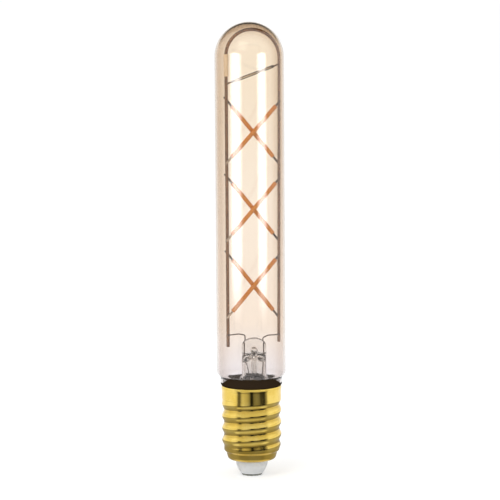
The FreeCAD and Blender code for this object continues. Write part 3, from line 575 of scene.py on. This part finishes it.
def stem_outside():
    """Rings from the flare's bend up to the crown."""
    bend = arc(FLARE_CENTRE, STEM_BEND, 270, 180, FLARE_STEPS)
    rings = [round_ring(radius, height) for radius, height in bend]
    for k in range(1, PINCH_STEPS + 1):
        share = k / PINCH_STEPS
        eased = share * share * (3 - 2 * share)
        depth = STEM_RADIUS + (PRESS_HALF_DEPTH - STEM_RADIUS) * eased
        height = PINCH_FOOT + (PINCH_TOP - PINCH_FOOT) * share
        section = stem_section(STEM_RADIUS, depth, ROUND_POWER + (PRESS_POWER - ROUND_POWER) * eased)
        rings.append([(x, y, height) for x, y in section])
    for k in range(1, PRESS_STEPS + 1):
        rings.append([
            (x, y, PINCH_TOP + (crown(x) - CROWN_ROUND - PINCH_TOP) * k / PRESS_STEPS)
            for x, y in stem_section(STEM_RADIUS, PRESS_HALF_DEPTH, PRESS_POWER)
        ])
    for k in range(1, CROWN_STEPS + 1):
        turn = math.radians(90 * k / CROWN_STEPS)
        inset, rise = CROWN_ROUND * (1 - math.cos(turn)), CROWN_ROUND * (math.sin(turn) - 1)
        rings.append([
            (x, y, crown(x) + rise)
            for x, y in stem_section(STEM_RADIUS - inset, PRESS_HALF_DEPTH - inset, PRESS_POWER)
        ])
    for share in CROWN_SHARES:
        width, depth = (STEM_RADIUS - CROWN_ROUND) * share, (PRESS_HALF_DEPTH - CROWN_ROUND) * share
        rings.append([(x, y, crown(x)) for x, y in stem_section(width, depth, PRESS_POWER)])
    return [[dimpled(worked(Vector(point), *PINCH_WORKED)) for point in ring] for ring in rings]


def make_stem():
    """One skin from the hollow's bubble round the flange to the crown."""
    noise.seed_set(WORKED_SEED)
    rim = [
        [(x - STEM_ASIDE, y, z) for x, y, z in round_ring(FLANGE_RADIUS, height)]
        for height in (FLARE_FOOT, FLARE_FOOT + STEM_WALL)
    ]
    rings = [*stem_cavity(), *rim, *stem_outside()]
    vertices = [(x + STEM_ASIDE, y, height) for ring in rings for x, y, height in ring]
    faces = ring_faces(len(rings), STEM_AROUND, False)
    faces.append(tuple(reversed(range(STEM_AROUND))))
    faces.append(tuple(range(len(vertices) - STEM_AROUND, len(vertices))))
    # The flare is matt and dark up to a height: painted shade of the cap's dark inside.
    finish = clear_glass("stem_glass", STEM_DARK, STEM_LIGHT, STEM_RIM_SHADE, STEM_FACING, STEM_SHADE_TOP)
    piece = mesh_piece("pressed_stem", vertices, faces, finish)
    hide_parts("glass_stem")
    let_light_through(piece)


# The rolled cap

def thread_radius(turn, height, inset):
    """Radius of the rolled sheet at one height and turn: a round section off the axis."""
    if height >= THREAD_TOP:
        return CAP_RADIUS - inset
    root = CAP_RADIUS - THREAD_DEPTH
    phase = 2 * math.pi * height / THREAD_PITCH + THREAD_START
    above, below = (height - THREAD_BOTTOM) / THREAD_FADE, (THREAD_TOP - height) / THREAD_FADE
    throw = THREAD_DEPTH / 2 * max(min(above, below, 1), 0)
    radius = root + throw if above < below else CAP_RADIUS - throw
    aside = turn - phase
    return throw * math.cos(aside) + math.sqrt((radius - inset) ** 2 - (throw * math.sin(aside)) ** 2)


def cap_rows(inset):
    """Rows of one side of the sheet from the hole to the rim: a radius, or None where the thread
    sets it, and a height."""
    heel = (CAP_HEEL[0], CAP_HEEL[1] + inset)
    flank = (CAP_FLANK[0] - inset, CAP_FLANK[1])
    waist = (CAP_WAIST[0] - inset, CAP_WAIST[1])
    root = (CAP_RADIUS - THREAD_DEPTH - inset, THREAD_BOTTOM)
    lip, rim = (CAP_RADIUS - inset, LIP_HEIGHT), (CAP_RADIUS - inset - LIP_IN, RIM_HEIGHT)
    rows = [(CAP_HOLE[0], CAP_HOLE[1] + inset)]
    rows += bowed(heel, flank, HEEL_BOW - inset, HEEL_STEPS)
    rows += s_bend(waist, root, WAIST_STEPS)[:-1]
    rows += [
        (None, THREAD_BOTTOM + (THREAD_TOP - THREAD_BOTTOM) * k / THREAD_ROWS)
        for k in range(THREAD_ROWS + 1)
    ]
    rows += bowed(lip, rim, LIP_BOW - inset, LIP_STEPS)
    return rows


def make_cap():
    turns = [2 * math.pi * k / AROUND for k in range(AROUND)]
    rows = [(*row, 0) for row in cap_rows(0)] + [(*row, SHEET) for row in reversed(cap_rows(SHEET))]
    vertices = []
    for radius, height, inset in rows:
        for turn in turns:
            out = thread_radius(turn, height, inset) if radius is None else radius
            vertices.append((out * math.cos(turn), out * math.sin(turn), height))
    faces = ring_faces(len(rows), AROUND, True)
    piece = mesh_piece("brass_screw_cap", vertices, faces, brass_sheet())
    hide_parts("cap_shell")


# The solids that keep their shape

def dress(nodes, finish):
    """A finish and smooth shading for solids that keep their shape."""
    for name in nodes:
        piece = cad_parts[name]
        piece.data.materials.clear()
        piece.data.materials.append(finish)
        smooth(piece)


def dress_mount():
    tube_end = clear_glass("tube_end_glass", STEM_DARK, STEM_LIGHT, STEM_RIM_SHADE, STEM_FACING)
    dress(["exhaust_tube"], tube_end)
    dress(["spacer_bar"], clear_glass("bar_glass", BAR_DARK, BAR_LIGHT, BAR_RIM_SHADE, BAR_FACING))
    for name in ("exhaust_tube", "spacer_bar"):
        let_light_through(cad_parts[name])
    rods = wire_metal("mount_wire", (0.11, 0.052, 0.020), (0.20, 0.10, 0.042), 0.3, 900)
    dress(["support_rod_left", "support_rod_right", "spacer_pin_left", "spacer_pin_right"], rods)
    leads = wire_metal("lead_wire", (0.03, 0.018, 0.012), (0.10, 0.065, 0.045), 0.35, 1400)
    dress(["lead_wire_left", "lead_wire_right", "centre_lead", "side_lead"], leads)
    ends = [f"filament_tab_{n}_{end}" for n in range(1, 7) for end in ("left", "right")]
    # The left ends of filaments 1, 3 and 5 get a much lighter copy of the tab metal: a painted
    # highlight.
    highlit_tabs = [f"filament_tab_{n}_left" for n in (1, 3, 5)]
    dress(ends, wire_metal("dark_tab", (0.05, 0.03, 0.02), (0.16, 0.11, 0.08), 0.3, 1400))
    dress(highlit_tabs, wire_metal("painted_highlight_tab", (0.3, 0.24, 0.18), (0.62, 0.54, 0.46), 0.25, 1400))
    dress([f"led_filament_{n}" for n in range(1, 7)], filament_coating())
    dress(["insulating_sleeve"], sleeve_weave())


def dress_cap_pieces():
    dress(["cap_cement", "neck_plug"], cement_finish())
    dress(["cap_insulator"], moulded("insulator", (0.95, 0.965, 0.97), (0.90, 0.92, 0.93), 0.3))
    dress(["centre_contact"], contact_metal())
    dress(["driver_board"], moulded("board_laminate", (0.72, 0.70, 0.6), (0.6, 0.58, 0.48), 0.5))
    black = moulded("component_black", (0.03, 0.03, 0.03), (0.015, 0.015, 0.015), 0.45)
    dress(["bridge_rectifier", "driver_chip"], black)
    can = wire_metal("capacitor_can", (0.5, 0.5, 0.5), (0.7, 0.7, 0.7), 0.3, 600)
    dress(["smoothing_capacitor"], can)
    coating = moulded("resistor_coating", (0.3, 0.4, 0.33), (0.2, 0.3, 0.24), 0.5)
    dress(["fusible_resistor"], coating)


# Studio: a pale floor, white surroundings, one lamp, and cards that only metal and glass see.
# Mirrored rays pass the floor, because what the metal mirrors reaches below it.

RAYS = ("camera", "diffuse", "glossy", "transmission", "volume_scatter", "shadow")
WORLD_FILL = 0.8
FLOOR_SIZE = 6.0
FLOOR_GREY, FLOOR_GLOW = (0.75, 0.75, 0.75, 1), 0.41
KEY_SIZE, KEY_POWER = 0.6, 3.0
KEY_PLACE, KEY_TARGET = Vector((-0.4, -0.7, 0.9)), Vector((0, 0, 0.1))
# Each soft light's side, its degrees from the front towards +X and the degrees that it spans
SOFTBOXES = (("left", -46, 52), ("right", 41, 42))
SOFTBOX_DISTANCE = 0.32
SOFTBOX_BOTTOM, SOFTBOX_TOP = 4 * MM, 290 * MM
SOFTBOX_STRENGTH = 17.0
SOFT_SIDE, SOFT_END = 0.42, 0.16
BACKDROP_PLACE, BACKDROP_WIDTH = 1.0, 2.4
BACKDROP_BOTTOM, BACKDROP_TOP = 0.30, 2.4
BACKDROP_SOFT, BACKDROP_SOFT_SIDE, BACKDROP_DARK = 0.25, 0.36, 0.97
FRONT_PLACE, FRONT_WIDTH, FRONT_HEIGHT, FRONT_LEVEL = 2.6, 12.0, 6.0, 0.33
WALL_RADIUS, WALL_HOLE = 60 * MM, 0.1 * MM
WALL_BOTTOM, WALL_TOP, WALL_EDGE = -60 * MM, 54 * MM, 1 * MM
COLLAR_RADIUS = 20 * MM
WALL_STEPS = 90
# The wall's greys, by where on the cap the front view sees them: degrees of the cap's own turn
# from the front towards +X
WALL_LEVELS = (
    (-85, 1.12), (-34, 1.12), (-30, 0.8), (-27.5, 0.18), (-23, 0.14), (-20.5, 0.6), (-17, 0.78),
    (-9, 0.6), (-4, 0.32), (-1.5, 0.02), (2.0, 0.02), (4.5, 0.2), (10, 0.27), (15, 0.2),
    (18, 0.06), (26.5, 0.03), (28.5, 0.22), (30.5, 0.35), (34, 1.1), (85, 1.1),
)
# The wall's greys by height, which the thread's slopes mirror
WALL_HEIGHTS = (
    (-60 * MM, 0.98), (-46 * MM, 0.92), (-38 * MM, 0.45), (-3 * MM, 0.5), (32 * MM, 0.9),
    (42 * MM, 1.15), (94 * MM, 1.15),
)
# The heights that the upright faces mirror, and where the sleeve's share of them starts
UPRIGHT_FROM, UPRIGHT_TO = (-5 * MM, 0), (31 * MM, 34 * MM)
SLEEVE_FROM = (11 * MM, 16 * MM)
WALL_SIDE = (28, 40)
THREAD_FRONT_SHADE, THREAD_SIDE_SHADE, SLOPE_FRONT_SHADE = 0.22, 0.42, 0.70


def stage_mesh(name, corners, faces, material, seen_by):
    """A piece of the studio that only some kinds of ray see."""
    mesh = bpy.data.meshes.new(name)
    mesh.from_pydata(corners, [], faces)
    mesh.materials.append(material)
    card = bpy.data.objects.new(name, mesh)
    bpy.context.collection.objects.link(card)
    for ray in RAYS:
        setattr(card, f"visible_{ray}", ray in seen_by)
    return card


def upright_card(name, width, height, material, seen_by=("glossy",)):
    x, z = width / 2, height / 2
    corners = [(-x, 0, -z), (x, 0, -z), (x, 0, z), (-x, 0, z)]
    return stage_mesh(name, corners, [(0, 1, 2, 3)], material, seen_by)


def make_surroundings():
    look = Finish("white_surroundings", bpy.data.worlds)
    strength = look.node("ShaderNodeMapRange", {}, look.seen_rays(), 0.0, 1.0, WORLD_FILL, 1.0)
    background = look.node("ShaderNodeBackground", {}, Color=WHITE, Strength=strength)
    bpy.context.scene.world = look.finish(background, "ShaderNodeOutputWorld")


def make_floor():
    """A pale floor that is clear from below, so the lamp's foot can be looked at."""
    look = Finish("pale_floor")
    matt = look.node("ShaderNodeBsdfDiffuse", {}, Color=FLOOR_GREY)
    glow = look.node("ShaderNodeEmission", {}, Color=WHITE, Strength=look.seen_rays() * FLOOR_GLOW)
    above = look.node("ShaderNodeAddShader", {}, matt, glow)
    below = look.node("ShaderNodeBsdfTransparent", {})
    underside = look.node("ShaderNodeNewGeometry", {}, output="Backfacing")
    material = look.finish(look.node("ShaderNodeMixShader", {}, underside, above, below))
    half = FLOOR_SIZE / 2
    corners = [(-half, -half, 0), (half, -half, 0), (half, half, 0), (-half, half, 0)]
    seen_by = [ray for ray in RAYS if ray != "glossy"]
    stage_mesh("floor", corners, [(0, 1, 2, 3)], material, seen_by)


def make_softbox(side, azimuth, spread):
    """A tall soft light whose glow falls off at its sides and ends."""
    name = f"softbox_{side}"
    width = 2 * SOFTBOX_DISTANCE * math.tan(math.radians(spread / 2))
    height = SOFTBOX_TOP - SOFTBOX_BOTTOM
    look = Finish(name)
    sides = look.ease(look.edge_distance("X", width), 0, width * SOFT_SIDE)
    ends = look.ease(look.edge_distance("Z", height), 0, height * SOFT_END)
    card = upright_card(name, width, height, look.light(sides * ends * SOFTBOX_STRENGTH))
    turn = math.radians(azimuth)
    middle = (SOFTBOX_BOTTOM + SOFTBOX_TOP) / 2
    card.location = (SOFTBOX_DISTANCE * math.sin(turn), -SOFTBOX_DISTANCE * math.cos(turn), middle)
    card.rotation_euler.z = turn


def make_key_light():
    data = bpy.data.lights.new("key", "AREA")
    data.size, data.energy = KEY_SIZE, KEY_POWER
    lamp = bpy.data.objects.new("key", data)
    lamp.location = KEY_PLACE
    lamp.rotation_euler = (KEY_TARGET - KEY_PLACE).to_track_quat("-Z", "Y").to_euler()
    lamp.visible_glossy = False
    bpy.context.collection.objects.link(lamp)


def make_dark_backdrop():
    """The dark upper part of the room behind the lamp: it draws the dome's edge."""
    look = Finish("dark_backdrop")
    height = BACKDROP_TOP - BACKDROP_BOTTOM
    above = look.ease(look.axis_value("Z") + height / 2, 0, BACKDROP_SOFT)
    sides = look.ease(look.edge_distance("X", BACKDROP_WIDTH), 0, BACKDROP_SOFT_SIDE)
    card = upright_card("dark_backdrop", BACKDROP_WIDTH, height,
                        look.light(1 - above * sides * BACKDROP_DARK), ("glossy", "transmission"))
    card.location = (0, BACKDROP_PLACE, (BACKDROP_TOP + BACKDROP_BOTTOM) / 2)


def make_front_card():
    """The dim front of the room behind the camera, which the glass mirrors faintly."""
    material = Finish("dim_front").light(FRONT_LEVEL)
    card = upright_card("dim_front", FRONT_WIDTH, FRONT_HEIGHT, material)
    card.location.y = -FRONT_PLACE


def wall_turn(cap_turn):
    """Where round the wall the front view's ray lands when the cap mirrors it at cap_turn."""
    turn = math.radians(cap_turn)
    return 2 * turn - math.asin(CAP_RADIUS * math.sin(turn) / WALL_RADIUS)


def wall_greys():
    """Upright faces mirror the greys by turn, the thread's slopes the greys by height."""
    look = Finish("grey_wall")
    height = look.axis_value("Z")
    azimuth = look.maths("ARCTAN2", look.axis_value("X"), look.axis_value("Y") * -1)
    by_turn = look.ramp(azimuth, [(wall_turn(turn), (level,) * 3) for turn, level in WALL_LEVELS])
    along = height + (WALL_RADIUS - look.radius()) * look.ease(height, WALL_TOP - WALL_EDGE, WALL_TOP)
    by_height = look.ramp(along, [(place, (level,) * 3) for place, level in WALL_HEIGHTS])
    aside = look.ease(look.maths("ABSOLUTE", azimuth), *(wall_turn(turn) for turn in WALL_SIDE))
    slope_share = SLOPE_FRONT_SHADE + aside * (1 - SLOPE_FRONT_SHADE)
    thread_share = THREAD_FRONT_SHADE + aside * (THREAD_SIDE_SHADE - THREAD_FRONT_SHADE)
    upright_share = thread_share + (1 - thread_share) * look.ease(height, *SLEEVE_FROM)
    upright = look.ease(height, *UPRIGHT_FROM) * look.ease(height, *UPRIGHT_TO, 1.0, 0.0)
    scale = {"operation": "SCALE"}
    slopes = look.node("ShaderNodeVectorMath", scale, by_height, Scale=slope_share)
    faces = look.node("ShaderNodeVectorMath", scale, by_turn, Scale=upright_share)
    return look.finish(look.node("ShaderNodeEmission", {}, Color=look.blend(upright, slopes, faces)))


def make_wall():
    """A low grey wall and collar round the cap, with the darker gaps that the brass mirrors."""
    first, last = (wall_turn(turn) for turn in (WALL_LEVELS[0][0], WALL_LEVELS[-1][0]))
    turns = [first + (last - first) * k / WALL_STEPS for k in range(WALL_STEPS + 1)]
    rings = (
        (WALL_HOLE, WALL_BOTTOM), (WALL_RADIUS, WALL_BOTTOM), (WALL_RADIUS, WALL_TOP),
        (COLLAR_RADIUS, WALL_TOP),
    )
    corners = [
        (radius * math.sin(turn), -radius * math.cos(turn), height)
        for radius, height in rings for turn in turns
    ]
    count = len(turns)
    faces = [
        (row + k, row + k + 1, row + count + k + 1, row + count + k)
        for row in range(0, (len(rings) - 1) * count, count) for k in range(WALL_STEPS)
    ]
    stage_mesh("grey_wall", corners, faces, wall_greys(), ("glossy",))


# Camera

CAMERA_DISTANCE = 2.0
CAMERA_ELEVATION = 8.5
CAMERA_ROLL = -0.4
CAMERA_REACH = 20
FRAME_HEIGHT = 0.2177
AIM = Vector((-0.0002, 0, 0.0994))


def make_camera():
    data = bpy.data.cameras.new("camera")
    data.lens = data.sensor_width * CAMERA_DISTANCE / FRAME_HEIGHT
    data.clip_end = CAMERA_REACH
    camera = bpy.data.objects.new("camera", data)
    bpy.context.collection.objects.link(camera)
    rise = math.radians(CAMERA_ELEVATION)
    back = Vector((0, -math.cos(rise), math.sin(rise)))
    camera.location = AIM + back * CAMERA_DISTANCE
    camera.rotation_mode = "QUATERNION"
    roll = Quaternion((0, 0, 1), math.radians(CAMERA_ROLL))
    camera.rotation_quaternion = (-back).to_track_quat("-Z", "Y") @ roll
    bpy.context.scene.camera = camera


make_envelope()
make_stem()
make_cap()
dress_mount()
dress_cap_pieces()
make_surroundings()
make_floor()
for softbox in SOFTBOXES:
    make_softbox(*softbox)
make_key_light()
make_dark_backdrop()
make_front_card()
make_wall()
make_camera()
bpy.context.scene.view_settings.view_transform = "Standard"
